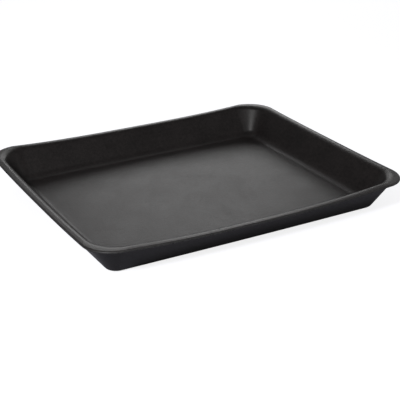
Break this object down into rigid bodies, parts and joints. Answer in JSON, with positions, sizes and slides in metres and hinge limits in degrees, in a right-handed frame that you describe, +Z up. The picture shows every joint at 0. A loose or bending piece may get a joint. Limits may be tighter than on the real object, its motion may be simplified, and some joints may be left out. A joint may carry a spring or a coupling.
{
  "type": "foam meat tray",
  "caption": "Shallow rectangular foam tray with a flat floor, walls that lean outwards, rounded corners and a turned-out lip that dips along its sides.",
  "frame": {"origin": "middle of the tray's underside", "axes": "+X along the length, +Y along the width, +Z up out of the tray"},
  "size_m": [0.28, 0.235, 0.028],
  "materials": {
    "black_foam": "black polystyrene foam with a satin closed-cell skin"
  },
  "bodies": {
    "root": {"foam_tray": "black_foam"}
  },
  "joints": []
}
